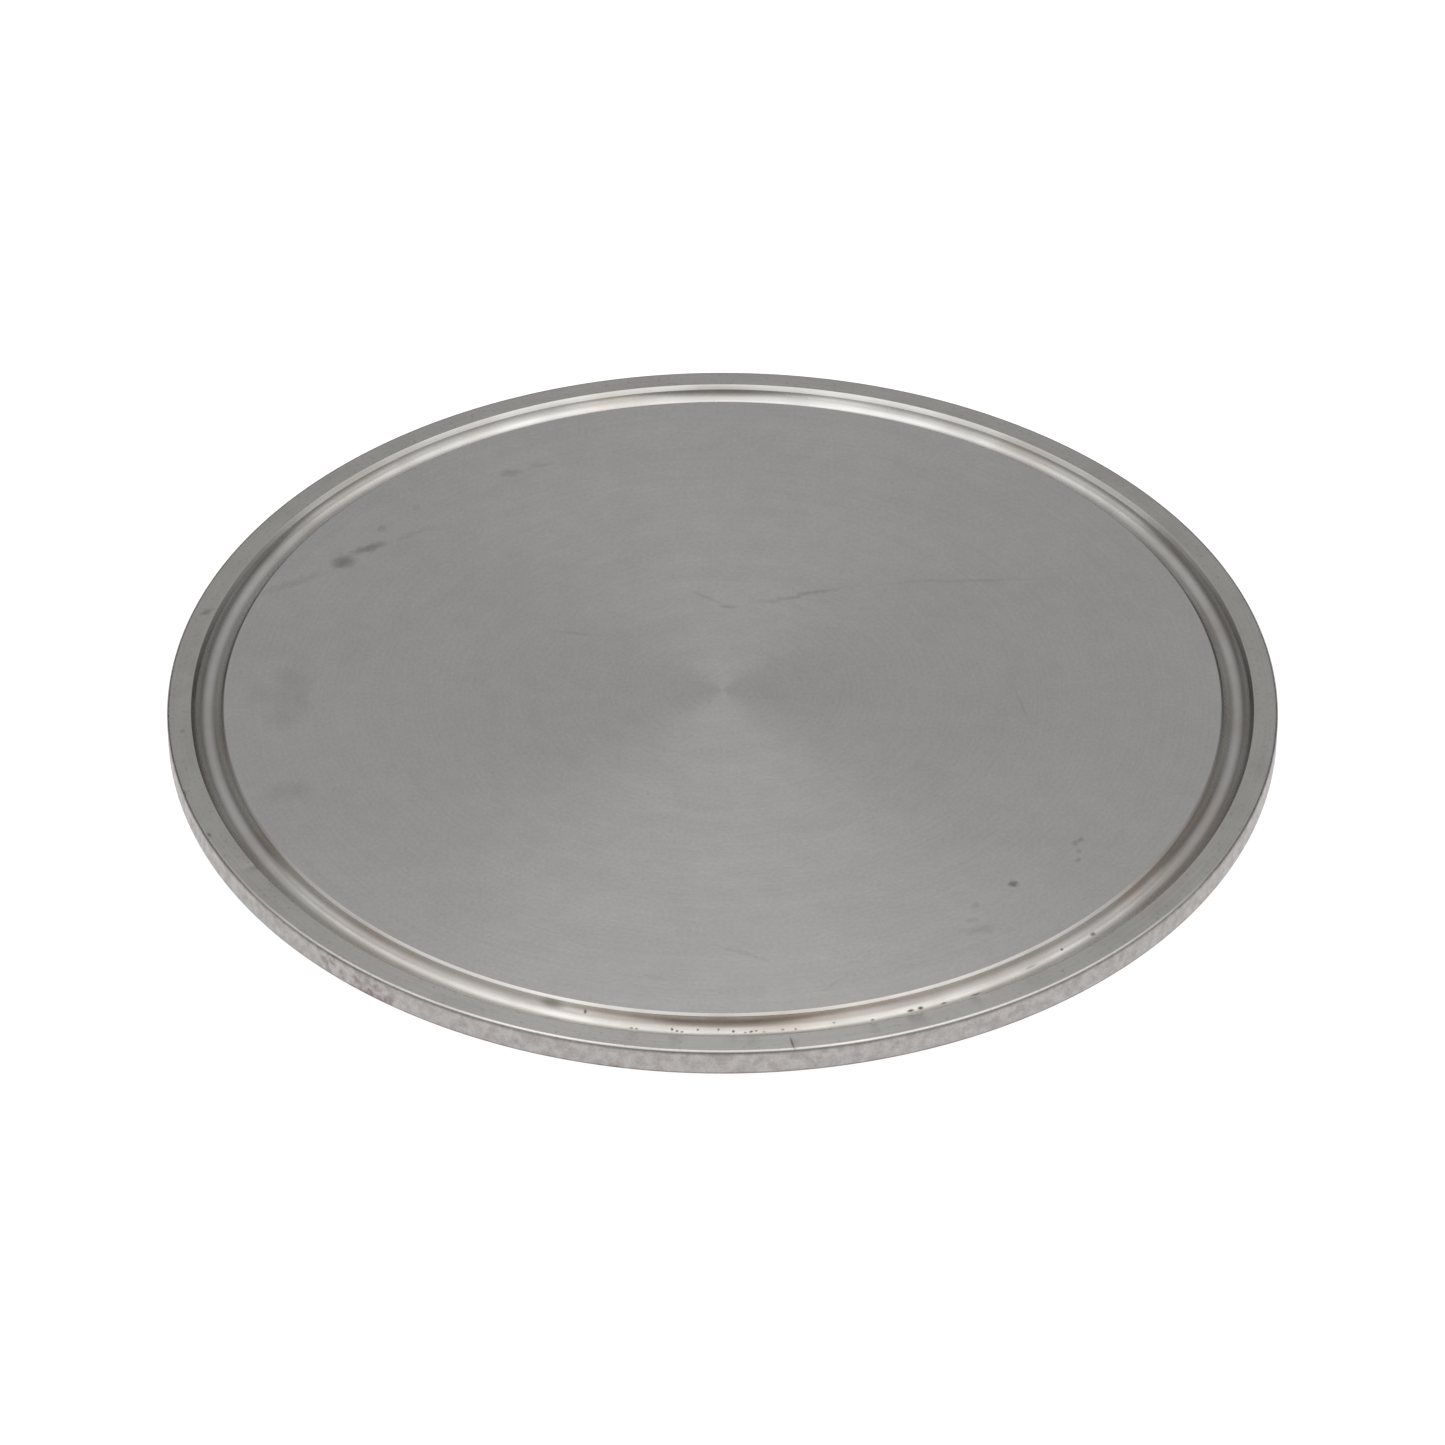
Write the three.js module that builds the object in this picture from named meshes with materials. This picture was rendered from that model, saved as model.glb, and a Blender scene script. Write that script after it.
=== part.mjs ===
// A blank end cap for a 4 inch (DN 100) hygienic clamp joint: one solid disc, turned from stainless steel.
// The sealing face looks up and has a round-bottomed gasket groove near its edge. Outside the groove a flat
// land runs out to the rim. Behind the rim a 20 degree shoulder, which the clamp's jaws draw together,
// leads down to a flat back. Origin at the middle of the back face, +Z along the axis to the sealing face.

import * as THREE from "three";

// Driving dimensions, in millimetres and degrees.
const FLANGE_DIAMETER = 119;
const RIM_THICKNESS = 2.85; // height of the upright rim wall, from the sealing face down
const TOTAL_THICKNESS = 6.35;
const SHOULDER_ANGLE = 20; // between the clamp shoulder and the faces
const GROOVE_DIAMETER = 110.3; // to the middle of the gasket groove
const GROOVE_RADIUS = 1.4; // of the round bottom
const GROOVE_DEPTH = 1.4;
const GROOVE_LIP_RADIUS = 0.35; // rounds the groove's two edges
const RIM_BREAK = 0.3; // 45 degree edge break at the top and bottom of the rim wall
const BACK_CORNER_RADIUS = 0.6; // between the shoulder and the back face

// How finely the curves are divided.
const SEGMENTS_AROUND = 144;
const LIP_STEPS = 3;
const GROOVE_STEPS = 10;
const CORNER_STEPS = 2;

const STEEL = { color: 0x9c9b98, roughness: 0.38, metalness: 1 };

const radians = THREE.MathUtils.degToRad;

// Points along an arc in the profile plane. Angles run anticlockwise from the direction of larger radius.
function arcPoints(centre, radius, fromAngle, toAngle, steps) {
  return Array.from({ length: steps + 1 }, (_, i) => {
    const angle = fromAngle + ((toAngle - fromAngle) * i) / steps;
    return new THREE.Vector2(centre.x + radius * Math.cos(angle), centre.y + radius * Math.sin(angle));
  });
}

// The back face's edge and the shoulder, from the back up to the rim's lower edge.
function shoulderPoints() {
  const slope = radians(SHOULDER_ANGLE);
  const rimRadius = FLANGE_DIAMETER / 2;
  const wallFoot = TOTAL_THICKNESS - RIM_THICKNESS;
  const backCornerAt = rimRadius - wallFoot / Math.tan(slope);
  const cornerCentre = new THREE.Vector2(
    backCornerAt - BACK_CORNER_RADIUS * Math.tan(slope / 2),
    BACK_CORNER_RADIUS,
  );
  const straightDown = -Math.PI / 2;
  return [
    ...arcPoints(cornerCentre, BACK_CORNER_RADIUS, straightDown, straightDown + slope, CORNER_STEPS),
    new THREE.Vector2(rimRadius - RIM_BREAK, wallFoot - RIM_BREAK * Math.tan(slope)),
  ];
}

// The upright rim wall with its two edge breaks.
function rimPoints() {
  const rimRadius = FLANGE_DIAMETER / 2;
  const wallFoot = TOTAL_THICKNESS - RIM_THICKNESS;
  return [
    new THREE.Vector2(rimRadius, wallFoot + RIM_BREAK),
    new THREE.Vector2(rimRadius, TOTAL_THICKNESS - RIM_BREAK),
    new THREE.Vector2(rimRadius - RIM_BREAK, TOTAL_THICKNESS),
  ];
}

// The gasket groove from its outer lip to its inner lip: a round bottom between two rounded edges.
function groovePoints() {
  const middle = GROOVE_DIAMETER / 2;
  const bottomCentre = new THREE.Vector2(middle, TOTAL_THICKNESS - GROOVE_DEPTH + GROOVE_RADIUS);
  const lipCentreDrop = bottomCentre.y - (TOTAL_THICKNESS - GROOVE_LIP_RADIUS);
  const halfWidth = Math.sqrt((GROOVE_RADIUS + GROOVE_LIP_RADIUS) ** 2 - lipCentreDrop ** 2);
  const wallAngle = Math.atan2(lipCentreDrop, halfWidth);
  const lipCentre = (side) =>
    new THREE.Vector2(middle + side * halfWidth, TOTAL_THICKNESS - GROOVE_LIP_RADIUS);
  return [
    ...arcPoints(lipCentre(1), GROOVE_LIP_RADIUS, Math.PI / 2, Math.PI - wallAngle, LIP_STEPS),
    ...arcPoints(bottomCentre, GROOVE_RADIUS, -wallAngle, wallAngle - Math.PI, GROOVE_STEPS).slice(1, -1),
    ...arcPoints(lipCentre(-1), GROOVE_LIP_RADIUS, wallAngle, Math.PI / 2, LIP_STEPS),
  ];
}

// The disc, as its half section turned about the axis.
function blankDisc() {
  const halfSection = [
    new THREE.Vector2(0, 0),
    ...shoulderPoints(),
    ...rimPoints(),
    ...groovePoints(),
    new THREE.Vector2(0, TOTAL_THICKNESS),
  ];
  const geometry = new THREE.LatheGeometry(halfSection, SEGMENTS_AROUND);
  const mesh = new THREE.Mesh(geometry, new THREE.MeshStandardMaterial(STEEL));
  mesh.name = "blank_disc";
  mesh.rotation.x = Math.PI / 2; // LatheGeometry turns about +Y, and the disc's axis is +Z
  return mesh;
}

const blindFlange = new THREE.Group();
blindFlange.add(blankDisc());

export default blindFlange;
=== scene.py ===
"""A blank end cap for a 4 inch (DN 100) hygienic clamp joint, lying on a pale studio table.

The cap is one solid disc, turned from stainless steel. Its sealing face looks up. Near the edge the
face has a round-bottomed gasket groove, and outside that a narrow land runs out to an upright rim wall.
Behind the wall the 20 degree clamp shoulder leads in to the flat back, on which the cap lies.

Lengths that describe the cap are in millimetres, and become metres where a mesh is made. Angles round
the cap are in degrees, anticlockwise from +X seen from above, so 270 is the side nearest the camera.
"""

import logging
import math
from dataclasses import dataclass
from enum import IntEnum
from typing import Any, Iterable, Sequence

import bpy
import numpy as np
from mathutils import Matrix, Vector


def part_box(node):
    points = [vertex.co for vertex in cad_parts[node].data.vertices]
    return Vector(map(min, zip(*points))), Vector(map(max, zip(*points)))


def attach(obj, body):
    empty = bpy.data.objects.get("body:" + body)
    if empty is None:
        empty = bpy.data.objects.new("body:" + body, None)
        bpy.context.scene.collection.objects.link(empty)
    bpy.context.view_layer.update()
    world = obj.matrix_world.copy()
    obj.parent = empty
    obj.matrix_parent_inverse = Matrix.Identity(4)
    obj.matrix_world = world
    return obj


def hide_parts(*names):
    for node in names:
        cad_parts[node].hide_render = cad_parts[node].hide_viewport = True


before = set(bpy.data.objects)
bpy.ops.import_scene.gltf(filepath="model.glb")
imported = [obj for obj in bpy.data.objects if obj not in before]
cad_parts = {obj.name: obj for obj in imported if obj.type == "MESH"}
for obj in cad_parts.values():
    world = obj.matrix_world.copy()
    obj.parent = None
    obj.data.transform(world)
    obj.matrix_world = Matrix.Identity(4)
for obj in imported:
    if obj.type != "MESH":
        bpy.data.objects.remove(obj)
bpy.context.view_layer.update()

CAP_NODE = "blank_disc"
MILLIMETRE = 0.001

log = logging.getLogger("blind_flange")


def linear_rgba(srgb: str) -> tuple[float, float, float, float]:
    """Turns an sRGB hex colour into linear light, with full alpha.

    Below 0.04045 a channel is divided by 12.92. Above it, it is ((c + 0.055) / 1.055) to the power 2.4.

    Args:
        srgb: The colour as "#rrggbb".

    Returns:
        Red, green, blue and alpha.
    """
    channels = [int(srgb[i : i + 2], 16) / 255 for i in (1, 3, 5)]
    red, green, blue = (c / 12.92 if c <= 0.04045 else ((c + 0.055) / 1.055) ** 2.4 for c in channels)
    return red, green, blue, 1.0


def add_node(
    tree: bpy.types.NodeTree,
    kind: str,
    inputs: dict[Any, Any] | None = None,
    **settings: Any,
) -> Any:
    """Adds a node to a tree with its settings, values and links.

    Args:
        tree: The tree that takes the node.
        kind: The node's type, such as "ShaderNodeMath".
        inputs: For each input's name or number, the value it holds or the output socket that feeds it.
        settings: The node's own properties, such as operation="ADD".

    Returns:
        The new node.
    """
    made = tree.nodes.new(kind)
    for name, value in settings.items():
        setattr(made, name, value)
    for name, value in (inputs or {}).items():
        if isinstance(value, bpy.types.NodeSocket):
            tree.links.new(value, made.inputs[name])
        else:
            made.inputs[name].default_value = value
    return made


# --- The shape ---------------------------------------------------------------------------------------


class Zone(IntEnum):
    """The turned surfaces of the cap. The number is the surface's place in the list of materials."""

    BACK_FACE = 0
    SHOULDER = 1
    RIM_WALL = 2
    RIM_LAND = 3
    GROOVE = 4
    SEALING_FACE = 5


def arc(centre: tuple[float, float], radius: float, start: float, stop: float, steps: int) -> np.ndarray:
    """Points along an arc of the half section, evenly spaced.

    A point is the centre plus the radius times (cosine, sine) of its angle.

    Args:
        centre: The arc's centre, as (distance from the axis, height).
        radius: The arc's radius.
        start: The first angle in degrees, anticlockwise from the direction away from the axis.
        stop: The last angle.
        steps: How many stretches the arc is divided into.

    Returns:
        An array of (distance from the axis, height), one row for each point.
    """
    angle = np.radians(np.linspace(start, stop, steps + 1))
    return np.column_stack([centre[0] + radius * np.cos(angle), centre[1] + radius * np.sin(angle)])


def guarded_line(
    start: np.ndarray,
    end: np.ndarray,
    between: Sequence[float] = (),
    guard: float = 0.04,
) -> np.ndarray:
    """Points inside a straight stretch of the half section, without its two ends.

    A guard point close to each end keeps the shading of the round edges off the flat between them.

    Args:
        start: Where the stretch starts.
        end: Where it ends.
        between: Further points, as shares of the length.
        guard: How far the guard points stand from the ends.

    Returns:
        An array of points from the start to the end.
    """
    share = guard / float(np.hypot(*(end - start)))
    places = np.array([share, *between, 1 - share])[:, None]
    return start + (end - start) * places


@dataclass(frozen=True)
class Nick:
    """A small dent that handling has left in an edge of the groove.

    Attributes:
        bearing: Where it is round the cap, in degrees.
        radius: Its middle's distance from the axis.
        length: Its length along the edge.
        depth: How deep it is at the middle.
    """

    bearing: float
    radius: float
    length: float
    depth: float


@dataclass
class BlankDisc:
    """The cap's shape: a half section turned about the axis.

    Attributes:
        diameter: Across the rim.
        thickness: From the back face to the sealing face.
        rim_height: Height of the upright rim wall, down from the sealing face.
        shoulder_angle: Between the clamp shoulder and the faces.
        groove_diameter: To the middle of the gasket groove.
        groove_radius: Of the groove's round bottom, whose centre is level with the face.
        outer_lip_angle: Between the chamfer that breaks the groove's outer edge and the face.
        outer_lip_width: How far that chamfer widens the groove at the face.
        inner_lip_angle: Between the inner edge's chamfer and the face.
        inner_lip_width: How far that one widens the groove.
        lip_radius: Rounds the chamfers' edges.
        rim_edge_radius: Rounds the wall's top edge.
        wall_foot_radius: Rounds the edge between the wall and the shoulder.
        back_corner_radius: Rounds the edge between the shoulder and the back face.
        segments: How many facets the disc has round its axis.
    """

    diameter: float
    thickness: float
    rim_height: float = 2.85
    shoulder_angle: float = 20.0
    groove_diameter: float = 110.3
    groove_radius: float = 1.4
    outer_lip_angle: float = 42.0
    outer_lip_width: float = 0.38
    inner_lip_angle: float = 30.0
    inner_lip_width: float = 0.3
    lip_radius: float = 0.12
    rim_edge_radius: float = 0.34
    wall_foot_radius: float = 0.25
    back_corner_radius: float = 0.6
    segments: int = 1080

    def back_and_shoulder(self) -> list[tuple[np.ndarray, Zone]]:
        """The half section from the axis along the back, round the corner and up the shoulder.

        The shoulder is the straight line at its angle through the wall's lower corner. Its two ends are
        the tangent points of the arcs that round it into the back face and into the wall.

        Returns:
            Stretches of points, each with its zone.
        """
        slope = math.radians(self.shoulder_angle)
        rim, foot = self.diameter / 2, self.thickness - self.rim_height
        corner_at = rim - foot / math.tan(slope)
        setback = self.back_corner_radius * math.tan(slope / 2)
        corner = arc((corner_at - setback, self.back_corner_radius), self.back_corner_radius,
                     -90, -90 + self.shoulder_angle, steps=4)
        drop = self.wall_foot_radius * math.tan((math.pi / 2 - slope) / 2)
        wall_foot = arc((rim - self.wall_foot_radius, foot + drop), self.wall_foot_radius,
                        -90 + self.shoulder_angle, 0, steps=6)
        back = guarded_line(np.zeros(2), corner[0], between=(0.1, 0.45, 0.8))
        return [
            (back[1:], Zone.BACK_FACE),
            (corner, Zone.SHOULDER),
            (guarded_line(corner[-1], wall_foot[0], between=(0.33, 0.66)), Zone.SHOULDER),
            (wall_foot, Zone.RIM_WALL),
        ]

    def rim(self, foot: np.ndarray, lip: np.ndarray) -> list[tuple[np.ndarray, Zone]]:
        """The half section up the wall, over its top edge and in along the land.

        The steeper half of the round edge has the wall's finish, and the flatter half the land's.

        Args:
            foot: The last point below the wall.
            lip: The first point of the groove's outer lip.

        Returns:
            Stretches of points, each with its zone.
        """
        radius = self.rim_edge_radius
        edge = arc((self.diameter / 2 - radius, self.thickness - radius), radius, 0, 90, steps=8)
        flatter = len(edge) // 2 + 1
        return [
            (guarded_line(foot, edge[0], between=(0.5,)), Zone.RIM_WALL),
            (edge[:flatter], Zone.RIM_WALL),
            (edge[flatter:], Zone.RIM_LAND),
            (guarded_line(edge[-1], lip, between=(0.5,)), Zone.RIM_LAND),
        ]

    def lip(self, angle: float, width: float) -> tuple[np.ndarray, float]:
        """One broken edge of the groove, seen from the groove's middle, with the edge on the right.

        The chamfer's line meets the face at the groove's edge plus the width. One arc rounds it into
        the face. A second one touches the line and, from outside, the bottom's arc, so its centre is as
        far from the middle as the two radii together. Where the line, moved into the steel by the small
        radius, crosses the circle of that reach, is the second centre.

        Args:
            angle: Between the chamfer and the face.
            width: How far the chamfer widens the groove at the face.

        Returns:
            The points from the face down to the bottom's arc, and how many degrees below the level the
            last one lies, seen from the middle.
        """
        tilt, radius = math.radians(angle), self.lip_radius
        downhill = np.array([-math.cos(tilt), -math.sin(tilt)])
        inward = np.array([math.sin(tilt), -math.cos(tilt)])
        corner = np.array([self.groove_radius + width, 0.0])
        moved, reach = corner + radius * inward, self.groove_radius + radius
        ahead = float(moved @ downhill)
        centre = moved - downhill * (ahead + math.sqrt(ahead**2 - float(moved @ moved) + reach**2))
        below = math.degrees(math.atan2(-centre[1], centre[0]))
        top = (corner[0] + radius * math.tan(tilt / 2), -radius)
        return np.vstack([
            arc(top, radius, 90, 90 + angle, steps=3),
            arc(tuple(centre), radius, 90 + angle, 180 - below, steps=5),
        ]), below

    def groove(self) -> np.ndarray:
        """The half section of the gasket groove, from its outer lip to its inner lip.

        The bottom is an arc whose centre is level with the face, and each edge is broken by a chamfer.

        Returns:
            The points, outer lip first.
        """
        outer, outer_below = self.lip(self.outer_lip_angle, self.outer_lip_width)
        inner, inner_below = self.lip(self.inner_lip_angle, self.inner_lip_width)
        bottom = arc((0.0, 0.0), self.groove_radius, -outer_below, inner_below - 180, steps=20)
        section = np.vstack([outer, bottom[1:-1], inner[::-1] * (-1, 1)])
        return section + (self.groove_diameter / 2, self.thickness)

    def half_section(self) -> tuple[np.ndarray, np.ndarray]:
        """The whole half section, from the back face's middle to the sealing face's middle.

        Returns:
            The points, without the two on the axis, and the zone of each point.
        """
        lower = self.back_and_shoulder()
        groove = self.groove()
        centre = np.array([0.0, self.thickness])
        face = guarded_line(groove[-1], centre, between=(0.03, 0.2, 0.5, 0.8, 0.95))
        stretches = [
            *lower,
            *self.rim(lower[-1][0][-1], groove[0]),
            (groove, Zone.GROOVE),
            (face[:-1], Zone.SEALING_FACE),
        ]
        points = np.vstack([points for points, _ in stretches])
        zones = np.concatenate([np.full(len(points), zone) for points, zone in stretches])
        return points, zones

    def dented(self, places: np.ndarray, inward: np.ndarray, nicks: Iterable[Nick]) -> np.ndarray:
        """Presses the nicks into the surface.

        Each nick moves a point inwards by its depth times exp(-(d / size) squared), where d is the
        point's distance from the nick's middle and the size is half the nick's length.

        Args:
            places: The points, one row each.
            inward: For each point, the direction into the steel.
            nicks: The nicks. Their middles lie below the sealing face by the lips' radius.

        Returns:
            The moved points.
        """
        moved = places.copy()
        for nick in nicks:
            bearing = math.radians(nick.bearing)
            middle = nick.radius * np.array([math.cos(bearing), math.sin(bearing), 0.0])
            middle[2] = self.thickness - self.lip_radius
            squares = ((places - middle) ** 2).sum(1) / (nick.length / 2) ** 2
            moved += inward * (nick.depth * np.exp(-squares))[:, None]
        return moved

    def turned(self, out: np.ndarray, up: np.ndarray) -> np.ndarray:
        """Turns points or directions of the half section about the axis.

        One that is r from the axis and z up, turned by the angle a, is (r cos a, r sin a, z).

        Args:
            out: How far from the axis each one is.
            up: How high each one is.

        Returns:
            An array of (x, y, z), with all turns of the first one first.
        """
        around = np.linspace(0, 2 * math.pi, self.segments, endpoint=False)
        x, y = out[:, None] * np.cos(around), out[:, None] * np.sin(around)
        z = np.repeat(up[:, None], self.segments, axis=1)
        return np.stack([x, y, z], axis=-1).reshape(-1, 3)

    def build(self, name: str, nicks: Iterable[Nick]) -> bpy.types.Object:
        """Turns the half section about the axis into a closed mesh.

        Neighbouring rings are joined by quads, and a fan of triangles closes each face round a point on
        the axis. The direction into the steel is the section's own direction, turned by a right angle.

        Args:
            name: The object's name.
            nicks: The dents in the groove's edges.

        Returns:
            The object, smooth shaded, with each face's material index set to its zone.
        """
        points, zones = self.half_section()
        run, rise = np.gradient(points[:, 0]), np.gradient(points[:, 1])
        length = np.hypot(run, rise)
        surface = self.turned(points[:, 0], points[:, 1])
        inward = -self.turned(rise / length, -run / length)
        vertices = np.vstack([
            self.dented(surface, inward, nicks),
            [[0, 0, 0], [0, 0, self.thickness]],
        ])
        quads, quad_zones = self.quads(len(points), zones)
        fans = self.fans(len(points))
        mesh = bpy.data.meshes.new(name)
        mesh.from_pydata((vertices * MILLIMETRE).tolist(), [], [*quads.tolist(), *fans.tolist()])
        fan_zones = np.repeat([Zone.BACK_FACE, Zone.SEALING_FACE], self.segments)
        mesh.polygons.foreach_set("material_index", np.concatenate([quad_zones, fan_zones]).astype(np.int32))
        mesh.polygons.foreach_set("use_smooth", np.ones(len(mesh.polygons), bool))
        mesh.update()
        cap = bpy.data.objects.new(name, mesh)
        bpy.context.scene.collection.objects.link(cap)
        return cap

    def quads(self, rings: int, zones: np.ndarray) -> tuple[np.ndarray, np.ndarray]:
        """The quads between neighbouring rings, facing outwards.

        Args:
            rings: How many rings the mesh has.
            zones: The zone of each ring.

        Returns:
            The corner numbers of each quad, and its zone: the second ring's, or the groove's where the
            first ring is in the groove.
        """
        ring, step = np.meshgrid(np.arange(rings - 1), np.arange(self.segments), indexing="ij")
        following = (step + 1) % self.segments
        below, above = ring * self.segments, (ring + 1) * self.segments
        corners = np.stack([below + step, below + following, above + following, above + step], axis=-1)
        quad_zones = np.where(zones[:-1] == Zone.GROOVE, zones[:-1], zones[1:])
        return corners.reshape(-1, 4), np.repeat(quad_zones, self.segments)

    def fans(self, rings: int) -> np.ndarray:
        """The triangles that close the back face and the sealing face.

        Args:
            rings: How many rings the mesh has.

        Returns:
            The corner numbers of each triangle, the back face's first.
        """
        step = np.arange(self.segments)
        following = (step + 1) % self.segments
        back, front = rings * self.segments, rings * self.segments + 1
        last = (rings - 1) * self.segments
        back_fan = np.stack([np.full_like(step, back), following, step], axis=-1)
        front_fan = np.stack([np.full_like(step, front), last + step, last + following], axis=-1)
        return np.vstack([back_fan, front_fan])


# --- The finishes ------------------------------------------------------------------------------------


WHITE = (1.0, 1.0, 1.0, 1.0)

RAGGEDNESS = 1.3  # how far noise moves the outline of a stain, in millimetres
RAGS_PER_MM = 1.1  # how many of that noise's features a millimetre holds
SMALLEST_STAIN = 1.0  # a mark narrower than this many millimetres keeps a clean outline
MARK_CORE = 0.15  # the share of a mark, out from its middle, that is at full strength
SWAY_LENGTH = 6.0  # millimetres from one bend of a straying scratch to the next

COMMON_NOISE = (0.3, 0.7)  # nearly all values of a noise lie between these two


@dataclass(frozen=True)
class Mark:
    """A stain, a scratch or a nick on the sealing side.

    Attributes:
        x: Its middle, to the right of the axis.
        y: Its middle, beyond the axis.
        length: Its length.
        width: Its width.
        heading: The direction of its length, in degrees.
        strength: How dark it is, from 0 to 1.
        wander: The width of the band that its line strays in.
    """

    x: float
    y: float
    length: float
    width: float
    heading: float
    strength: float
    wander: float = 0.0


class SteelSurface:
    """A steel material's node tree, with the coordinates that the cap's finishes share.

    Attributes:
        material: The material.
        tree: Its node tree.
        place: The point in the cap's own frame, in millimetres.
        flat: The same with no height, so that a mark falls straight down onto the face.
        radius: The distance from the axis, in millimetres.
        radial: The direction away from the axis.
    """

    def __init__(self, name: str) -> None:
        """Starts an empty material.

        Args:
            name: The material's name.
        """
        self.material = bpy.data.materials.new(name)
        self.material.use_nodes = True
        self.tree = self.material.node_tree
        self.tree.nodes.clear()
        coordinates = self.node("ShaderNodeTexCoord").outputs["Object"]
        self.place = self.vector("SCALE", coordinates, scale=1 / MILLIMETRE)
        self.flat = self.vector("MULTIPLY", self.place, (1, 1, 0))
        self.radius = self.node("ShaderNodeVectorMath", {0: self.flat}, operation="LENGTH").outputs["Value"]
        self.radial = self.vector("NORMALIZE", self.flat)

    def node(self, kind: str, inputs: dict[Any, Any] | None = None, **settings: Any) -> Any:
        """Adds a node to this surface's tree, as add_node does."""
        return add_node(self.tree, kind, inputs, **settings)

    def vector(self, operation: str, first: Any, second: Any = None, scale: float | None = None) -> Any:
        """Works on vectors.

        Args:
            operation: What to do, such as "ADD".
            first: The first vector.
            second: The second vector, where there is one.
            scale: The factor, where the operation is "SCALE".

        Returns:
            The output socket that holds the new vector.
        """
        inputs = {0: first}
        if second is not None:
            inputs[1] = second
        if scale is not None:
            inputs["Scale"] = scale
        return self.node("ShaderNodeVectorMath", inputs, operation=operation).outputs[0]

    def math(self, operation: str, first: Any, second: Any = 0.0, clamp: bool = False) -> Any:
        """Works on numbers.

        Args:
            operation: What to do, such as "MULTIPLY".
            first: The first number or socket.
            second: The second one.
            clamp: Whether the result is kept between 0 and 1.

        Returns:
            The output socket that holds the result.
        """
        made = self.node("ShaderNodeMath", {0: first, 1: second}, operation=operation, use_clamp=clamp)
        return made.outputs[0]

    def ramp(self, value: Any, low: float, high: float, to_low: float, to_high: float) -> Any:
        """Maps a range of values smoothly onto another range, and holds it outside.

        Args:
            value: The value to map.
            low: Where the range starts.
            high: Where it ends.
            to_low: What low becomes.
            to_high: What high becomes.

        Returns:
            The output socket that holds the result.
        """
        inputs = {"Value": value, "From Min": low, "From Max": high, "To Min": to_low, "To Max": to_high}
        made = self.node("ShaderNodeMapRange", inputs, interpolation_type="SMOOTHSTEP")
        return made.outputs["Result"]

    def spread(self, pattern: Any, least: float, most: float) -> Any:
        """Maps the common values of a noise onto a range.

        Args:
            pattern: The noise.
            least: What its dips become.
            most: What its peaks become.

        Returns:
            The output socket that holds the result.
        """
        return self.ramp(pattern, *COMMON_NOISE, least, most)

    def total(self, *parts: Any, clamp: bool = False) -> Any:
        """Adds up numbers.

        Args:
            parts: The numbers or sockets, at least two.
            clamp: Whether the result is kept between 0 and 1.

        Returns:
            The output socket that holds the sum.
        """
        reached = parts[0]
        for part in parts[1:-1]:
            reached = self.math("ADD", reached, part)
        return self.math("ADD", reached, parts[-1], clamp=clamp)

    def noise(self, where: Any, size: float, detail: float = 2.0, seed: float = 0.0) -> Any:
        """Noise of about a given size, from 0 to 1 round a mean of 0.5.

        Args:
            where: The coordinates, in millimetres.
            size: The width of the noise's features in the same units.
            detail: How many finer layers are added.
            seed: A number that picks another pattern.

        Returns:
            The output socket that holds the noise.
        """
        inputs = {"Vector": where, "W": seed, "Scale": 1 / size, "Detail": detail}
        return self.node("ShaderNodeTexNoise", inputs, noise_dimensions="4D").outputs["Fac"]

    def turning_marks(self, feed: float, streak: float, detail: float = 2.0, seed: float = 0.0) -> Any:
        """Noise drawn out round the axis, as a lathe tool's marks are.

        Its coordinates are the radius divided by the feed, and the direction away from the axis times
        the number of streaks that follow each other in one radian.

        Args:
            feed: The distance between neighbouring marks, in millimetres.
            streak: How many streaks follow each other in one radian.
            detail: How many finer layers are added.
            seed: A number that picks another pattern.

        Returns:
            The output socket that holds the noise, from 0 to 1.
        """
        turns = self.math("DIVIDE", self.radius, feed)
        drawn_out = self.vector("SCALE", self.radial, scale=streak)
        across = self.node("ShaderNodeCombineXYZ", {"Z": turns}).outputs[0]
        return self.noise(self.vector("ADD", drawn_out, across), 1.0, detail, seed)

    def mixed(self, share: Any, first: Any, second: Any) -> Any:
        """Mixes two colours.

        Args:
            share: How much of the second colour is taken.
            first: The first colour or socket.
            second: The second one.

        Returns:
            The output socket that holds the mixture.
        """
        made = self.node("ShaderNodeMix", {"Factor": share, 6: first, 7: second}, data_type="RGBA")
        return made.outputs[2]

    def marked(self, marks: Iterable[Mark]) -> Any:
        """Adds up stains, scratches and nicks.

        A mark's own coordinates run from -1 to 1 along its length and across its width. It fades from
        its core out to a distance of 1. Where it wanders, noise moves its line sideways, and as noise
        seldom leaves the middle half of its range, that half gives the full width. Noise roughens the
        outline of the large stains.

        Args:
            marks: The marks.

        Returns:
            The output socket that holds the darkness of all marks together, from 0 to 1.
        """
        shake = self.node("ShaderNodeTexNoise", {"Vector": self.flat, "Scale": RAGS_PER_MM, "Detail": 3.0})
        shaken = self.vector("SUBTRACT", shake.outputs["Color"], (0.5, 0.5, 0.5))
        ragged = self.vector("ADD", self.flat, self.vector("SCALE", shaken, scale=RAGGEDNESS))
        darkness: Any = 0.0
        for number, mark in enumerate(marks):
            large = min(mark.length, mark.width) >= SMALLEST_STAIN
            own = self.node("ShaderNodeMapping", {
                "Vector": ragged if large else self.flat,
                "Location": (mark.x, mark.y, 0),
                "Rotation": (0, 0, math.radians(mark.heading)),
                "Scale": (mark.length / 2, mark.width / 2, 1),
            }, vector_type="TEXTURE").outputs[0]
            if mark.wander:
                bends = mark.length / 2 / SWAY_LENGTH
                along = self.vector("MULTIPLY", own, (bends, 0, 0))
                stray = self.math("SUBTRACT", self.noise(along, 1.0, seed=number), 0.5)
                sideways = self.math("MULTIPLY", stray, 4 * mark.wander / mark.width)
                shift = self.node("ShaderNodeCombineXYZ", {"Y": sideways}).outputs[0]
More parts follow.
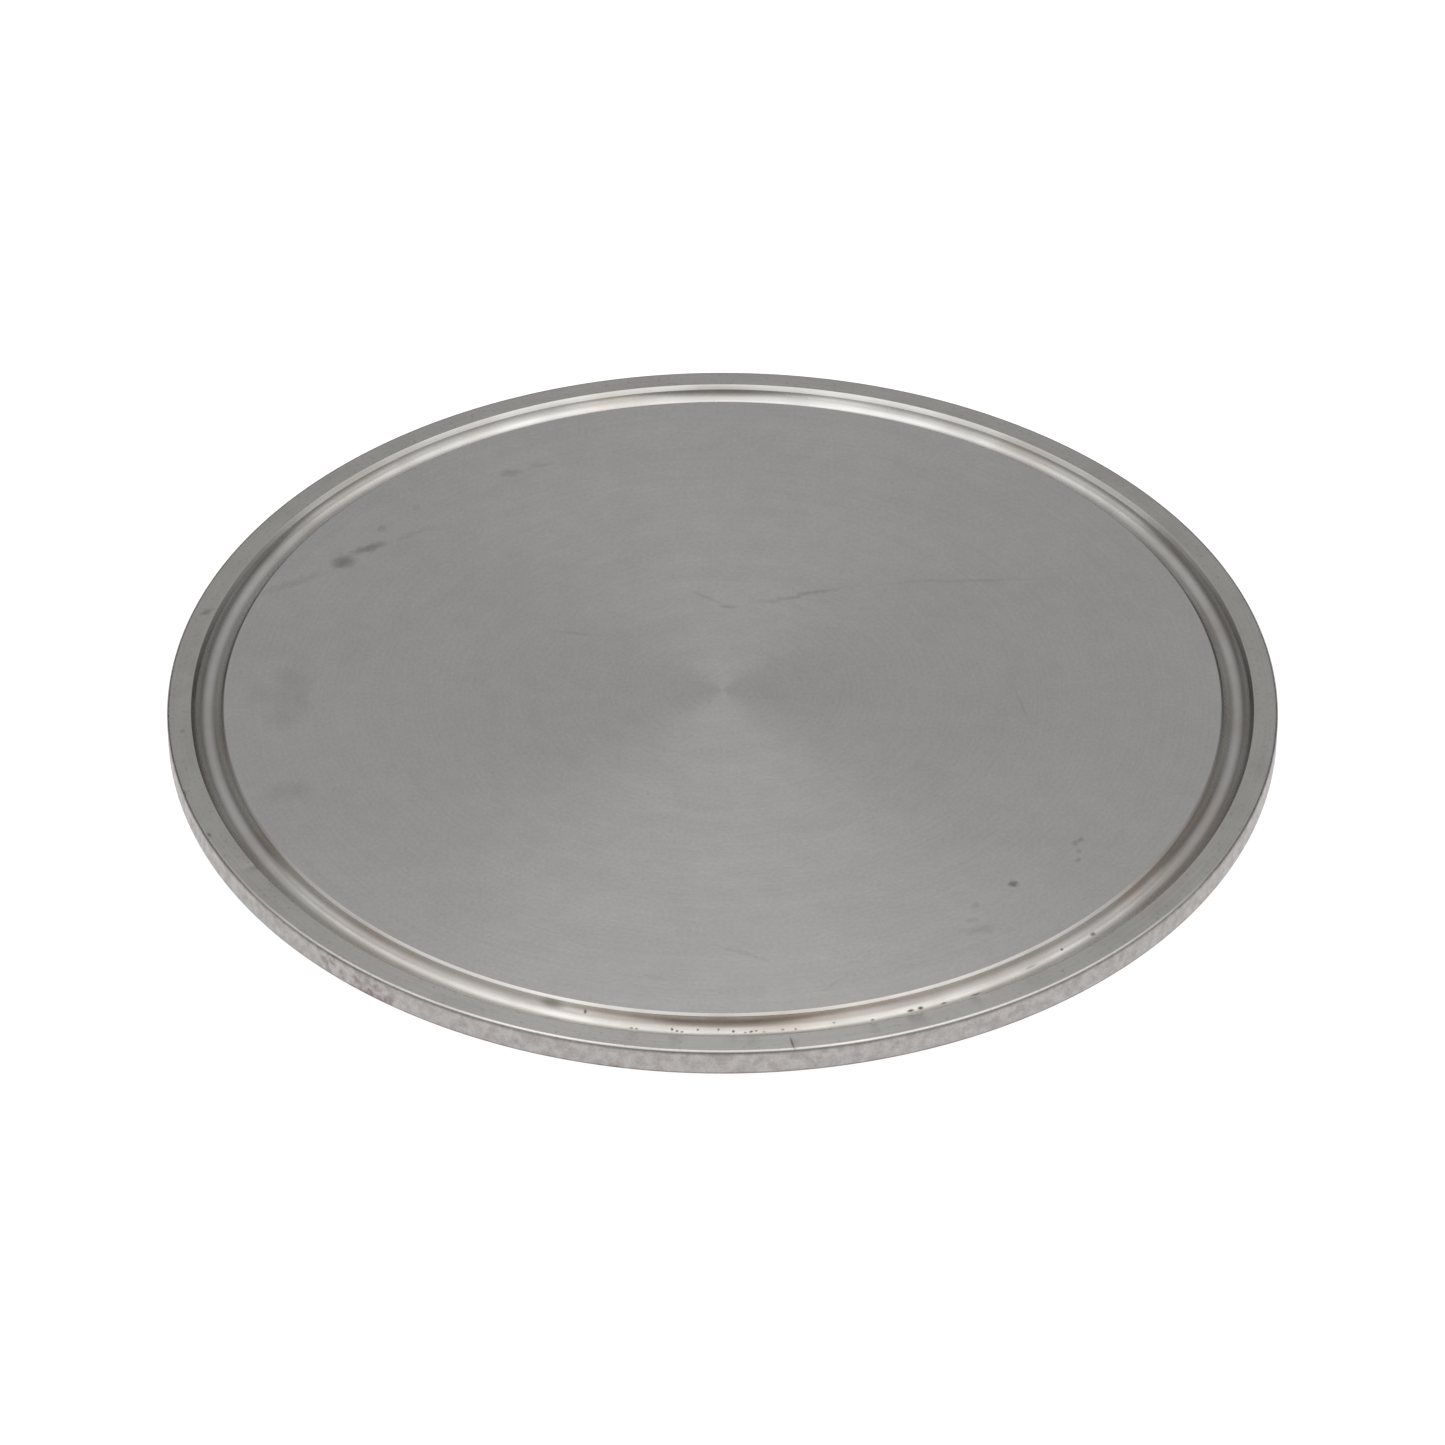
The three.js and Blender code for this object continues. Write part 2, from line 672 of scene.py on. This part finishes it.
                own = self.vector("ADD", own, shift)
            away = self.node("ShaderNodeVectorMath", {0: own}, operation="LENGTH").outputs["Value"]
            stain_here = self.ramp(away, MARK_CORE, 1.0, mark.strength, 0.0)
            darkness = self.math("ADD", darkness, stain_here, clamp=True)
        return darkness

    def bump(self, height: Any, depth: float) -> Any:
        """Turns heights into a tilt of the surface.

        Args:
            height: The pattern, from 0 to 1.
            depth: How high 1 stands above 0, in millimetres.

        Returns:
            The output socket that holds the normal.
        """
        inputs = {"Height": height, "Distance": depth * MILLIMETRE, "Strength": 1.0}
        return self.node("ShaderNodeBump", inputs).outputs[0]

    def finish(self, colour: Any, roughness: Any, anisotropy: float, normal: Any) -> bpy.types.Material:
        """Ends the tree in a metal shader whose reflections are drawn out away from the axis.

        Marks that run round the axis scatter light across themselves, so along a radius.

        Args:
            colour: The steel's colour.
            roughness: Its roughness.
            anisotropy: How much further light is scattered across the marks than along them.
            normal: The bumped normal.

        Returns:
            The material.
        """
        inputs = {
            "Base Color": colour,
            "Metallic": 1.0,
            "Roughness": roughness,
            "Anisotropic": anisotropy,
            "Tangent": self.radial,
            "Normal": normal,
        }
        shader = self.node("ShaderNodeBsdfPrincipled", inputs)
        self.node("ShaderNodeOutputMaterial", {"Surface": shader.outputs["BSDF"]})
        return self.material


FACE_MARKS = (
    Mark(-41.7, 23.1, 4.2, 3.4, 35, 0.46),
    Mark(-39.0, 25.6, 6.0, 1.9, 26, 0.42),
    Mark(-37.7, 29.4, 1.8, 1.8, 0, 0.2),
    Mark(-34.0, 28.4, 9.0, 1.3, 27, 0.09, 0.4),
    Mark(-47.0, 19.2, 12.0, 1.8, 30, 0.13),
    Mark(-34.0, 33.2, 1.5, 1.5, 0, 0.1),
    Mark(-23.7, 39.8, 3.8, 1.6, 14, 0.24),
    Mark(-20.4, 41.3, 3.8, 1.2, 18, 0.12),
    Mark(-49.4, -0.6, 5.0, 5.0, 0, 0.08),
    Mark(-46.5, 2.2, 4.8, 6.0, 20, 0.09),
    Mark(-46.3, -1.8, 6.0, 8.0, 0, 0.08),
    Mark(-47.2, -5.0, 6.0, 5.0, 0, 0.09),
    Mark(-44.9, -1.5, 3.2, 10.0, 0, 0.06),
    Mark(-45.8, -17.4, 7.5, 5.0, 20, 0.11),
    Mark(-1.9, 16.7, 6.0, 0.8, -33, 0.13, 0.3),
    Mark(0.6, 14.9, 2.8, 0.9, -8, 0.24),
    Mark(8.6, 17.0, 14.0, 1.1, 14, 0.22, 0.9),
    Mark(26.0, 19.6, 27.0, 0.9, 3, 0.09, 1.0),
    Mark(-16.0, 10.1, 8.0, 0.7, -10, 0.11, 0.3),
    Mark(32.0, -2.5, 11.0, 0.45, -79, 0.09, 0.5),
    Mark(30.1, -32.7, 1.4, 1.7, 10, 0.62),
    Mark(37.4, -25.7, 1.5, 1.1, 20, 0.32),
    Mark(36.7, -26.1, 1.0, 1.2, 0, 0.26),
    Mark(37.1, -27.4, 0.9, 1.0, 0, 0.2),
    Mark(36.9, -28.9, 1.0, 1.2, 0, 0.26),
    Mark(26.1, -36.3, 1.4, 1.6, -20, 0.17),
    Mark(25.6, -38.7, 2.2, 1.3, 0, 0.15),
    Mark(25.2, -40.4, 3.4, 2.4, 0, 0.1),
    Mark(26.8, -40.2, 3.4, 2.4, -10, 0.16),
    Mark(2.0, -43.8, 9.5, 1.0, -27, 0.1, 0.5),
    Mark(11.2, -48.9, 5.0, 0.6, 48, 0.1, 0.3),
    Mark(-7.2, -47.8, 4.0, 1.2, -6, 0.09, 0.3),
)

RIM_MARKS = (
    Mark(-17.3, -51.1, 3.8, 0.7, -19, 0.45),
    Mark(-13.9, -52.2, 0.5, 0.4, -20, 0.8),
    Mark(-9.2, -54.1, 0.6, 0.3, -10, 0.8),
    Mark(-8.7, -54.2, 0.5, 0.3, -10, 0.8),
    Mark(-5.1, -54.4, 0.4, 0.5, 20, 0.9),
    Mark(-4.6, -54.6, 0.5, 0.35, 0, 0.9),
    Mark(-4.1, -54.7, 0.5, 0.3, 0, 0.8),
    Mark(-2.5, -54.5, 0.35, 0.35, 0, 0.8),
    Mark(-0.4, -54.5, 0.35, 0.35, 0, 0.8),
    Mark(1.1, -54.7, 0.45, 0.45, 30, 0.9),
    Mark(2.3, -54.8, 0.4, 0.3, 0, 0.7),
    Mark(2.9, -54.7, 0.6, 0.35, 20, 0.9),
    Mark(3.4, -54.6, 0.5, 0.3, 20, 0.7),
    Mark(4.2, -54.7, 0.5, 0.25, 0, 0.6),
    Mark(6.1, -54.4, 0.5, 0.3, 0, 0.7),
    Mark(7.4, -54.3, 0.35, 0.4, 0, 0.7),
    Mark(7.0, -58.0, 2.8, 0.4, 102, 0.55),
    Mark(7.2, -58.0, 2.2, 1.3, 102, 0.14),
    Mark(11.3, -53.4, 0.5, 0.3, 12, 0.6),
    Mark(15.2, -52.8, 0.6, 0.35, 16, 0.8),
    Mark(19.1, -51.4, 1.1, 0.5, 20, 0.9),
    Mark(20.1, -51.0, 0.9, 0.6, 20, 0.95),
    Mark(22.5, -50.2, 1.0, 0.4, 24, 0.7),
    Mark(25.8, -48.8, 1.8, 0.4, 27, 0.6),
    Mark(31.5, -44.6, 2.2, 0.4, 35, 0.35),
    Mark(34.8, -41.9, 0.5, 0.4, 38, 0.8),
    Mark(38.1, -39.3, 1.0, 0.6, 42, 0.75),
    Mark(-56.2, 14.0, 2.6, 1.3, 40, 0.3),
    Mark(-57.5, -7.1, 0.8, 0.9, 0, 0.3),
    Mark(-53.6, -24.7, 1.2, 0.6, 120, 0.5),
    Mark(-56.6, -17.7, 1.8, 0.5, 105, 0.35),
)


@dataclass(frozen=True)
class TurnedFace:
    """Stainless steel faced on a lathe with a fine feed.

    Its marks run round the axis, each finer than the eye resolves. Together they draw every reflection
    out along the radius, which gives the eye a soft bow-tie of light about the middle.
    """

    name: str = "steel_turned_sealing_face"
    colour: str = "#d3d2cf"
    shade: str = "#8f8e8b"
    stain: str = "#565147"
    roughness: float = 0.2
    stain_roughness: float = 0.1  # how much rougher the darkest stain is
    anisotropy: float = 0.8
    feed: float = 0.22  # coarser than the real 0.1 mm, so that it shows
    mark_height: float = 0.0004

    def material(self) -> bpy.types.Material:
        """Makes the finish.

        Returns:
            The material.
        """
        surface = SteelSurface(self.name)
        fine = surface.turning_marks(self.feed, streak=3.0, detail=1.0)
        bands = surface.turning_marks(2.5, streak=0.8, detail=3.0, seed=5.0)
        clouds = surface.noise(surface.flat, 14.0, detail=3.0, seed=2.0)
        mottle = surface.noise(surface.flat, 3.0, seed=6.0)
        grain = surface.noise(surface.flat, 0.4, seed=8.0)
        stained = surface.marked(FACE_MARKS)
        tone = surface.total(
            surface.spread(clouds, 0.0, 0.06),
            surface.ramp(grain, 0.25, 0.75, 0.0, 0.12),
            surface.spread(fine, 0.0, 0.05),
            surface.spread(mottle, 0.0, 0.06),
        )
        steel = surface.mixed(tone, linear_rgba(self.colour), linear_rgba(self.shade))
        colour = surface.mixed(stained, steel, linear_rgba(self.stain))
        banded = surface.spread(bands, self.roughness - 0.01, self.roughness + 0.01)
        rough = surface.total(banded, surface.math("MULTIPLY", stained, self.stain_roughness))
        normal = surface.bump(fine, self.mark_height)
        return surface.finish(colour, rough, self.anisotropy, normal)


@dataclass(frozen=True)
class TurnedGroove:
    """Stainless steel cut with a round form tool and left bright, under a thin brown film.

    Its round section has every slope, so it shows the lights and the dark room beside each other. A
    brown painted reflection darkens the inner wall below the lip, most of all where y is lowest, and a
    fainter one the groove where y is low.
    """

    name: str = "steel_formed_gasket_groove"
    colour: str = "#cfcdca"
    shade: str = "#9a9691"
    # film colours the random film patches and also the brown painted reflection
    film: str = "#a08e7c"
    nick: str = "#3d3934"
    roughness: float = 0.26
    anisotropy: float = 0.7
    feed: float = 0.15
    mark_height: float = 0.00015
    painted_reflection_starts: tuple[float, float] = (53.75, 53.85)  # radii between which the painted reflection sets in
    painted_reflection_ends: tuple[float, float] = (54.0, 54.5)  # radii between which the inner wall, and its painted reflection, ends
    painted_reflection_thins_y: tuple[float, float] = (-54.0, -51.5)  # y between which the painted reflection thins out on that wall
    faint_painted_reflection_y: tuple[float, float] = (-50.0, -20.0)  # y between which the faint painted reflection ends elsewhere

    def film_and_painted_reflection(self, surface: SteelSurface) -> Any:
        """Works out how much of the steel the film and the brown painted reflection cover.

        Args:
            surface: The groove's surface.

        Returns:
            The output socket that holds the share, from 0 to 1.
        """
        y = surface.node("ShaderNodeSeparateXYZ", {"Vector": surface.place}).outputs["Y"]
        starts = surface.ramp(surface.radius, *self.painted_reflection_starts, 0.0, 1.0)
        below_lip = surface.math("MULTIPLY", starts, surface.ramp(surface.radius, *self.painted_reflection_ends, 1.0, 0.0))
        # Painted reflection: dark warm colour on the inner wall below the lip, strongest where y is lowest
        inner_wall_painted_reflection = surface.math("MULTIPLY", below_lip, surface.ramp(y, *self.painted_reflection_thins_y, 0.42, 0.12))
        # The patches are random film.
        patches = surface.noise(surface.place, 9.0, seed=6.0)
        return surface.total(
            inner_wall_painted_reflection,
            surface.ramp(patches, 0.42, 0.68, 0.0, 0.22),
            # faint painted reflection, darker where y is low
            surface.ramp(y, *self.faint_painted_reflection_y, 0.08, 0.0),
        )

    def material(self) -> bpy.types.Material:
        """Makes the finish.

        Returns:
            The material.
        """
        surface = SteelSurface(self.name)
        lines = surface.turning_marks(self.feed, streak=1.0, detail=1.0, seed=11.0)
        clouds = surface.noise(surface.place, 5.0, detail=3.0, seed=4.0)
        tone = surface.total(surface.spread(lines, 0.0, 0.08), surface.ramp(clouds, 0.35, 0.75, 0.0, 0.2))
        steel = surface.mixed(tone, linear_rgba(self.colour), linear_rgba(self.shade))
        # filmed carries the film patches and the brown painted reflection
        filmed = surface.mixed(self.film_and_painted_reflection(surface), steel, linear_rgba(self.film))
        colour = surface.mixed(surface.marked(RIM_MARKS), filmed, linear_rgba(self.nick))
        rough = surface.spread(clouds, self.roughness - 0.02, self.roughness + 0.03)
        normal = surface.bump(lines, self.mark_height)
        return surface.finish(colour, rough, self.anisotropy, normal)


@dataclass(frozen=True)
class RimLand:
    """The narrow flat outside the groove, faced like the sealing face in the same cut."""

    name: str = "steel_turned_rim_land"
    colour: str = "#cccbc6"
    shade: str = "#87837b"
    nick: str = "#3d3934"
    roughness: float = 0.2
    anisotropy: float = 0.8
    feed: float = 0.18
    mark_height: float = 0.0006

    def material(self) -> bpy.types.Material:
        """Makes the finish.

        Returns:
            The material.
        """
        surface = SteelSurface(self.name)
        fine = surface.turning_marks(self.feed, streak=3.0, detail=1.0, seed=3.0)
        clouds = surface.noise(surface.flat, 6.0, detail=3.0, seed=12.0)
        specks = surface.noise(surface.flat, 0.5, seed=15.0)
        tone = surface.total(
            surface.spread(fine, 0.0, 0.1),
            surface.ramp(clouds, 0.35, 0.7, 0.0, 0.16),
            surface.ramp(specks, 0.55, 0.76, 0.0, 0.3),
            clamp=True,
        )
        steel = surface.mixed(tone, linear_rgba(self.colour), linear_rgba(self.shade))
        colour = surface.mixed(surface.marked(RIM_MARKS), steel, linear_rgba(self.nick))
        rough = surface.spread(clouds, self.roughness - 0.01, self.roughness + 0.02)
        return surface.finish(colour, rough, self.anisotropy, surface.bump(fine, self.mark_height))


@dataclass(frozen=True)
class RimWall:
    """The upright rim, left as it was cut and then handled.

    It is duller than the rest, with a mottled pink-brown film where hands and clamps have touched it.
    A band of painted shade darkens it below the top edge, and a line of painted contact shadow its foot.
    """

    name: str = "steel_handled_rim_wall"
    colour: str = "#b4b1af"
    film: str = "#999491"
    # stain colours the real blotches and also the painted shade and painted shadow at the top and the foot
    stain: str = "#6f615c"
    roughness: float = 0.42
    anisotropy: float = 0.3
    grain_height: float = 0.003
    top_painted_shade: tuple[float, float] = (5.8, 6.1)  # heights between which painted shade comes in below the top edge
    foot_painted_shadow: tuple[float, float] = (3.55, 3.8)  # heights between which painted contact shadow goes at the foot

    def material(self) -> bpy.types.Material:
        """Makes the finish.

        Returns:
            The material.
        """
        surface = SteelSurface(self.name)
        mottle = surface.noise(surface.place, 1.0, detail=5.0, seed=21.0)
        patches = surface.noise(surface.place, 9.0, detail=3.0, seed=23.0)
        grain = surface.noise(surface.place, 0.25, seed=25.0)
        cover = surface.total(surface.spread(mottle, 0.0, 0.6), surface.spread(grain, 0.0, 0.4), clamp=True)
        filmed = surface.mixed(cover, linear_rgba(self.colour), linear_rgba(self.film))
        blotches = surface.math("MULTIPLY", surface.ramp(patches, 0.57, 0.72, 0.0, 0.6),
                                surface.ramp(mottle, 0.42, 0.62, 0.0, 1.0))
        height = surface.node("ShaderNodeSeparateXYZ", {"Vector": surface.place}).outputs["Z"]
        # Painted shade below the top edge and painted contact shadow along the foot, darkening the colour by
        # height
        painted_edge_shade = surface.total(surface.ramp(height, *self.top_painted_shade, 0.0, 0.38),
                              surface.ramp(height, *self.foot_painted_shadow, 0.85, 0.0))
        # stained holds the real blotches together with that painted shade and painted shadow
        stained = surface.total(blotches, painted_edge_shade, clamp=True)
        colour = surface.mixed(stained, filmed, linear_rgba(self.stain))
        rough = surface.spread(mottle, self.roughness - 0.03, self.roughness + 0.05)
        return surface.finish(colour, rough, self.anisotropy, surface.bump(grain, self.grain_height))


@dataclass(frozen=True)
class TurnedBack:
    """The clamp shoulder and the back face, turned with a coarser feed than the sealing side."""

    name: str
    feed: float
    colour: str = "#c4c1bd"
    film: str = "#8f8a84"
    roughness: float = 0.38
    anisotropy: float = 0.8
    mark_height: float = 0.0012

    def material(self) -> bpy.types.Material:
        """Makes the finish.

        Returns:
            The material.
        """
        surface = SteelSurface(self.name)
        rings = surface.turning_marks(self.feed, streak=1.2, detail=1.0, seed=31.0)
        clouds = surface.noise(surface.flat, 11.0, detail=4.0, seed=33.0)
        rubs = surface.noise(surface.flat, 1.2, detail=4.0, seed=35.0)
        tone = surface.total(
            surface.spread(rings, 0.0, 0.22),
            surface.ramp(clouds, 0.4, 0.75, 0.0, 0.25),
            surface.ramp(rubs, 0.6, 0.75, 0.0, 0.3),
            clamp=True,
        )
        colour = surface.mixed(tone, linear_rgba(self.colour), linear_rgba(self.film))
        rough = surface.spread(clouds, self.roughness - 0.04, self.roughness + 0.06)
        return surface.finish(colour, rough, self.anisotropy, surface.bump(rings, self.mark_height))


NICK_RADIUS = 56.95  # on the chamfer of the groove's outer edge

GROOVE_NICKS = tuple(
    Nick(bearing, NICK_RADIUS, length, depth)
    for bearing, length, depth in (
        (211.5, 0.9, 0.06),
        (260.8, 0.8, 0.05),
        (265.2, 0.9, 0.07),
        (271.1, 0.7, 0.05),
        (273.1, 1.0, 0.06),
        (285.7, 0.7, 0.05),
        (289.8, 0.9, 0.07),
        (290.7, 1.0, 0.09),
        (297.0, 0.9, 0.05),
    )
)


class Cap:
    """The blank itself: its shape and the finish of each turned surface."""

    def __init__(self) -> None:
        """Takes the overall size from the frame."""
        low, high = (np.array(corner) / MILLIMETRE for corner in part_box(CAP_NODE))
        self.shape = BlankDisc(diameter=float(high[0] - low[0]), thickness=float(high[2] - low[2]))
        self.finishes = {
            Zone.BACK_FACE: TurnedBack("steel_turned_back_face", feed=0.45),
            Zone.SHOULDER: TurnedBack("steel_turned_clamp_shoulder", feed=0.25),
            Zone.RIM_WALL: RimWall(),
            Zone.RIM_LAND: RimLand(),
            Zone.GROOVE: TurnedGroove(),
            Zone.SEALING_FACE: TurnedFace(),
        }

    def build(self) -> bpy.types.Object:
        """Makes the cap, dresses it and hangs it on the frame.

        Returns:
            The finished piece.
        """
        piece = self.shape.build("clamp_blank", GROOVE_NICKS)
        for zone in Zone:
            piece.data.materials.append(self.finishes[zone].material())
        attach(piece, "root")
        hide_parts(CAP_NODE)
        return piece


# --- The studio --------------------------------------------------------------------------------------


@dataclass(frozen=True)
class Softbox:
    """A rectangular softbox that faces the cap.

    Attributes:
        name: What it is called.
        bearing: Where it stands round the cap, in degrees.
        elevation: How high it stands above the table, in degrees.
        distance: From the cap, in metres.
        width: Its horizontal side, in metres.
        height: Its other side, in metres.
        radiance: How bright its face is; 1 shows as white.
    """

    name: str
    bearing: float
    elevation: float
    distance: float
    width: float
    height: float
    radiance: float

    def build(self) -> bpy.types.Object:
        """Makes the light.

        A rectangle of area A and power P is a face of radiance P / (pi A).

        Returns:
            The light, which the camera itself doesn't see.
        """
        light = bpy.data.lights.new(self.name, "AREA")
        light.shape = "RECTANGLE"
        light.size, light.size_y = self.width, self.height
        light.energy = math.pi * self.width * self.height * self.radiance
        lamp = bpy.data.objects.new(self.name, light)
        bearing, elevation = math.radians(self.bearing), math.radians(self.elevation)
        level = math.cos(elevation)
        away = Vector((math.cos(bearing) * level, math.sin(bearing) * level, math.sin(elevation)))
        lamp.location = away * self.distance
        lamp.rotation_euler = away.to_track_quat("Z", "Y").to_euler()
        lamp.visible_camera = False
        bpy.context.scene.collection.objects.link(lamp)
        return lamp


SOFTBOXES = (
    Softbox("overhead_softbox", 90, 88, 0.8, 1.18, 0.85, 0.67),
    Softbox("far_softbox", 90, 63.5, 0.8, 0.28, 0.4, 0.45),
    Softbox("left_softbox", 210, 27, 0.9, 1.47, 0.67, 0.5),
    Softbox("right_softbox", 330, 27, 0.9, 1.47, 0.67, 0.5),
    Softbox("left_top_strip", 168, 75, 0.8, 0.5, 0.16, 0.45),
    Softbox("right_top_strip", 12, 75, 0.8, 0.5, 0.16, 0.45),
    Softbox("left_front_strip", 244.5, 42, 0.9, 0.26, 0.8, 0.42),
    Softbox("right_front_strip", 295.5, 42, 0.9, 0.26, 0.8, 0.42),
)


@dataclass(frozen=True)
class Studio:
    """A pale table, a dim room and eight softboxes, with a camera on the near side.

    Attributes:
        table_colour: The colour of the matt white table.
        table_glow: Light that the thin table passes from below.
        table_half_width: From the cap to the table's edge, in metres.
        room_low: How bright the room that the steel reflects is at table height.
        room_low_to: The elevation up to which it is no brighter, in degrees.
        room_high: How bright it is overhead.
        room_high_from: The elevation from which it is as bright as overhead, in degrees.
        backdrop: How bright the backdrop is behind the table.
        camera_elevation: The camera's height above the sealing face, in degrees.
        camera_distance: From the sealing face's middle, in metres.
        aim_nearer: How much nearer than that middle the camera aims, in metres.
        lens: The lens's focal length, in millimetres.
        sensor_width: In millimetres.
        clipping: The nearest and the farthest that the camera sees, in metres.
    """

    table_colour: str = "#9c9c9b"
    table_glow: float = 0.86
    table_half_width: float = 4.0
    room_low: float = 0.035
    room_low_to: float = 13.0
    room_high: float = 0.575
    room_high_from: float = 46.0
    backdrop: float = 0.92
    camera_elevation: float = 37.7
    camera_distance: float = 0.73
    aim_nearer: float = 0.00563
    lens: float = 169.5
    sensor_width: float = 36.0
    clipping: tuple[float, float] = (0.01, 50.0)

    def build_table(self) -> bpy.types.Object:
        """Makes the table top, level with the cap's back face.

        Returns:
            The table, which isn't part of the cap.
        """
        half = self.table_half_width
        mesh = bpy.data.meshes.new("table_top")
        corners = [(-half, -half, 0), (half, -half, 0), (half, half, 0), (-half, half, 0)]
        mesh.from_pydata(corners, [], [(0, 1, 2, 3)])
        material = bpy.data.materials.new("matt_white_laminate")
        material.use_nodes = True
        tree = material.node_tree
        tree.nodes.clear()
        shader = add_node(tree, "ShaderNodeBsdfPrincipled", {
            "Base Color": linear_rgba(self.table_colour),
            "Roughness": 0.7,
            "Specular IOR Level": 0.2,
            "Emission Color": WHITE,
            "Emission Strength": self.table_glow,
        })
        add_node(tree, "ShaderNodeOutputMaterial", {"Surface": shader.outputs["BSDF"]})
        mesh.materials.append(material)
        table = bpy.data.objects.new("table_top", mesh)
        bpy.context.scene.collection.objects.link(table)
        return table

    def build_room(self) -> None:
        """Gives the world a pale backdrop for the eye and a dim room for the steel.

        Between its two elevations the room's brightness rises with the sine of the elevation.
        """
        world = bpy.data.worlds.new("studio_room")
        world.use_nodes = True
        tree = world.node_tree
        tree.nodes.clear()
        seen = add_node(tree, "ShaderNodeLightPath").outputs["Is Camera Ray"]
        towards = add_node(tree, "ShaderNodeTexCoord").outputs["Generated"]
        height = add_node(tree, "ShaderNodeSeparateXYZ", {"Vector": towards}).outputs["Z"]
        brightness = add_node(tree, "ShaderNodeMapRange", {
            "Value": height,
            "From Min": math.sin(math.radians(self.room_low_to)),
            "From Max": math.sin(math.radians(self.room_high_from)),
            "To Min": self.room_low,
            "To Max": self.room_high,
        }).outputs["Result"]
        room = add_node(tree, "ShaderNodeBackground", {"Color": WHITE, "Strength": brightness})
        backdrop = add_node(tree, "ShaderNodeBackground", {"Color": WHITE, "Strength": self.backdrop})
        both = add_node(tree, "ShaderNodeMixShader", {0: seen, 1: room.outputs[0], 2: backdrop.outputs[0]})
        add_node(tree, "ShaderNodeOutputWorld", {"Surface": both.outputs[0]})
        bpy.context.scene.world = world

    def build_camera(self) -> bpy.types.Object:
        """Sets up the camera on the near side, looking down at the sealing face.

        Returns:
            The camera, which becomes the scene's.
        """
        face_middle = Vector((0, 0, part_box(CAP_NODE)[1].z))
        elevation = math.radians(self.camera_elevation)
        data = bpy.data.cameras.new("camera")
        data.lens, data.sensor_width = self.lens, self.sensor_width
        data.clip_start, data.clip_end = self.clipping
        camera = bpy.data.objects.new("camera", data)
        back = Vector((0, -math.cos(elevation), math.sin(elevation)))
        camera.location = face_middle + back * self.camera_distance
        aim = face_middle - Vector((0, self.aim_nearer, 0))
        camera.rotation_euler = (camera.location - aim).to_track_quat("Z", "Y").to_euler()
        bpy.context.scene.collection.objects.link(camera)
        bpy.context.scene.camera = camera
        return camera

    def build(self) -> list[bpy.types.Object]:
        """Makes the room, the table, the lights and the camera.

        Returns:
            The table, the lights and the camera.
        """
        bpy.context.scene.view_settings.view_transform = "Standard"
        self.build_room()
        return [self.build_table(), *(softbox.build() for softbox in SOFTBOXES), self.build_camera()]


def main() -> None:
    """Builds the studio and the cap, and reports each thing that is made."""
    logging.basicConfig(level=logging.INFO, format="%(name)s: %(message)s")
    for placed in Studio().build():
        log.info("%s placed", placed.name)
    piece = Cap().build()
    log.info("%s: %d vertices, %d faces", piece.name, len(piece.data.vertices), len(piece.data.polygons))


if __name__ == "__main__":
    main()
